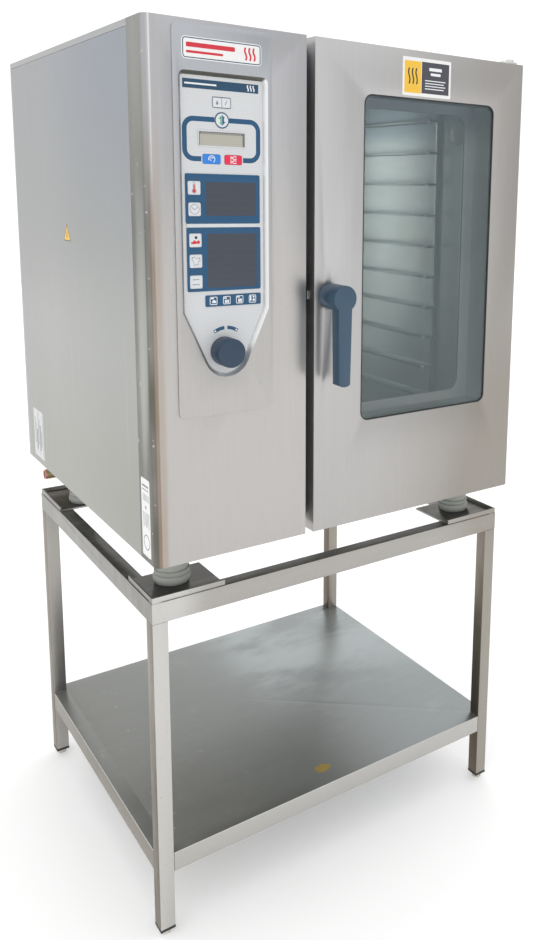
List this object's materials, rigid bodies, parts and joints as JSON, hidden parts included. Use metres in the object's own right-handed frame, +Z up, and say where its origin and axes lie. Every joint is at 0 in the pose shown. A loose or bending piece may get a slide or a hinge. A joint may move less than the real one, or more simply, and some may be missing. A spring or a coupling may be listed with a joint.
{
  "type": "combi steamer",
  "caption": "Floor-standing combi steamer: a stainless cabinet with a glazed side-hung door and a keypad panel beside it, on an open square-tube stand with a lower shelf",
  "frame": {"origin": "on the floor, below the middle of the whole object's box", "axes": "+Z up, -Y towards the cook in front of the door, +X to the door's hinge side"},
  "size_m": [0.847, 0.895, 1.7245],
  "materials": {
    "side_steel": "brushed stainless steel, cool grey",
    "front_steel": "brushed stainless steel, warm grey",
    "stand_steel": "brushed stainless steel tube",
    "shelf_steel": "worn stainless steel sheet",
    "cavity_steel": "stainless steel, satin",
    "bright_steel": "bright stainless steel",
    "foot_plastic": "moulded grey-green plastic",
    "black_plastic": "black plastic",
    "blue_plastic": "moulded steel-blue plastic",
    "foil_grey": "pale grey membrane foil with fine lines",
    "key_grey": "pale grey membrane key",
    "key_blue": "blue key",
    "key_red": "red key",
    "display_dark": "dark display window",
    "display_light": "pale liquid crystal display",
    "glass": "clear glass, slightly green",
    "silicone": "black silicone seal",
    "copper": "tarnished copper",
    "board_green": "green circuit board",
    "motor_paint": "dark grey paint"
  },
  "bodies": {
    "base": {"stand_top_frame": "stand_steel", "stand_shelf": "shelf_steel", "base_pan": "side_steel", "left_side_panel": "side_steel", "right_side_panel": "side_steel", "rear_panel": "side_steel", "top_cover": "side_steel", "front_cover": "front_steel", "control_bezel": "front_steel", "keypad_foil": "foil_grey", "lcd_display": "display_light", "display_pane": "display_dark", "control_board": "board_green", "cavity_liner": "cavity_steel", "fan_motor": "motor_paint", "heater_ring": "bright_steel", "steam_generator": "cavity_steel", "cavity_lamp": "glass", "copper_pipe": "copper", "door_gasket": "silicone", "latch_keeper": "black_plastic", "hinge_top": "bright_steel", "hinge_bottom": "bright_steel", "oven_foot_front_left": "foot_plastic", "stand_leg_front_left": "stand_steel", "stand_leveller_front_left": "black_plastic", "oven_foot_front_right": "foot_plastic", "stand_leg_front_right": "stand_steel", "stand_leveller_front_right": "black_plastic", "oven_foot_back_left": "foot_plastic", "stand_leg_back_left": "stand_steel", "stand_leveller_back_left": "black_plastic", "oven_foot_back_right": "foot_plastic", "stand_leg_back_right": "stand_steel", "stand_leveller_back_right": "black_plastic"},
    "door": {"door_skin": "front_steel", "door_glass_outer": "glass", "door_window_well": "cavity_steel", "door_glass_inner": "glass", "door_inner_panel": "cavity_steel"},
    "handle": {"door_handle": "blue_plastic", "latch_tongue": "bright_steel"},
    "knob": {"selector_knob": "blue_plastic"},
    "fan": {"fan_wheel": "cavity_steel"},
    "baffle": {"air_baffle": "cavity_steel", "rack_left": "bright_steel"},
    "right_rack": {"rack_right": "bright_steel"},
    "key_twin_cap": {"key_twin": "key_grey"},
    "key_power_cap": {"key_power": "key_grey"},
    "key_moist_cap": {"key_moist": "key_blue"},
    "key_hot_air_cap": {"key_hot_air": "key_red"},
    "key_temperature_cap": {"key_temperature": "key_grey"},
    "key_time_cap": {"key_time": "key_grey"},
    "key_core_probe_cap": {"key_core_probe": "key_grey"},
    "key_programme_cap": {"key_programme": "key_grey"},
    "key_start_cap": {"key_start": "key_grey"},
    "key_small_1_cap": {"key_small_1": "key_blue"},
    "key_small_2_cap": {"key_small_2": "key_blue"},
    "key_small_3_cap": {"key_small_3": "key_blue"},
    "key_small_4_cap": {"key_small_4": "key_blue"}
  },
  "joints": [
    {"name": "door_hinge", "type": "hinge", "parent": "base", "child": "door", "pos_m": [0.3985, -0.3655, 1.243], "axis": [0, 0, 1], "range_deg": [0, 120]},
    {"name": "handle_turn", "type": "hinge", "parent": "door", "child": "handle", "pos_m": [-0.0705, -0.4175, 1.241], "axis": [0, 1, 0], "range_deg": [-75, 75]},
    {"name": "knob_turn", "type": "hinge", "parent": "base", "child": "knob", "pos_m": [-0.287, -0.3975, 1.1535], "axis": [0, 1, 0], "continuous": true},
    {"name": "fan_spin", "type": "hinge", "parent": "base", "child": "fan", "pos_m": [-0.0535, 0.03, 1.273], "axis": [1, 0, 0], "continuous": true},
    {"name": "baffle_swing", "type": "hinge", "parent": "base", "child": "baffle", "pos_m": [-0.0105, 0.3495, 1.273], "axis": [0, 0, -1], "range_deg": [-22, 0]},
    {"name": "rack_lift", "type": "slide", "parent": "base", "child": "right_rack", "axis": [0, 0, -1], "range_m": [-0.012, 0]},
    {"name": "key_twin_press", "type": "slide", "parent": "base", "child": "key_twin_cap", "axis": [0, 1, 0], "range_m": [0, 0.0008], "stiffness_N_per_m": 300},
    {"name": "key_power_press", "type": "slide", "parent": "base", "child": "key_power_cap", "axis": [0, 1, 0], "range_m": [0, 0.0008], "stiffness_N_per_m": 300},
    {"name": "key_moist_press", "type": "slide", "parent": "base", "child": "key_moist_cap", "axis": [0, 1, 0], "range_m": [0, 0.0008], "stiffness_N_per_m": 300},
    {"name": "key_hot_air_press", "type": "slide", "parent": "base", "child": "key_hot_air_cap", "axis": [0, 1, 0], "range_m": [0, 0.0008], "stiffness_N_per_m": 300},
    {"name": "key_temperature_press", "type": "slide", "parent": "base", "child": "key_temperature_cap", "axis": [0, 1, 0], "range_m": [0, 0.0008], "stiffness_N_per_m": 300},
    {"name": "key_time_press", "type": "slide", "parent": "base", "child": "key_time_cap", "axis": [0, 1, 0], "range_m": [0, 0.0008], "stiffness_N_per_m": 300},
    {"name": "key_core_probe_press", "type": "slide", "parent": "base", "child": "key_core_probe_cap", "axis": [0, 1, 0], "range_m": [0, 0.0008], "stiffness_N_per_m": 300},
    {"name": "key_programme_press", "type": "slide", "parent": "base", "child": "key_programme_cap", "axis": [0, 1, 0], "range_m": [0, 0.0008], "stiffness_N_per_m": 300},
    {"name": "key_start_press", "type": "slide", "parent": "base", "child": "key_start_cap", "axis": [0, 1, 0], "range_m": [0, 0.0008], "stiffness_N_per_m": 300},
    {"name": "key_small_1_press", "type": "slide", "parent": "base", "child": "key_small_1_cap", "axis": [0, 1, 0], "range_m": [0, 0.0008], "stiffness_N_per_m": 300},
    {"name": "key_small_2_press", "type": "slide", "parent": "base", "child": "key_small_2_cap", "axis": [0, 1, 0], "range_m": [0, 0.0008], "stiffness_N_per_m": 300},
    {"name": "key_small_3_press", "type": "slide", "parent": "base", "child": "key_small_3_cap", "axis": [0, 1, 0], "range_m": [0, 0.0008], "stiffness_N_per_m": 300},
    {"name": "key_small_4_press", "type": "slide", "parent": "base", "child": "key_small_4_cap", "axis": [0, 1, 0], "range_m": [0, 0.0008], "stiffness_N_per_m": 300}
  ]
}
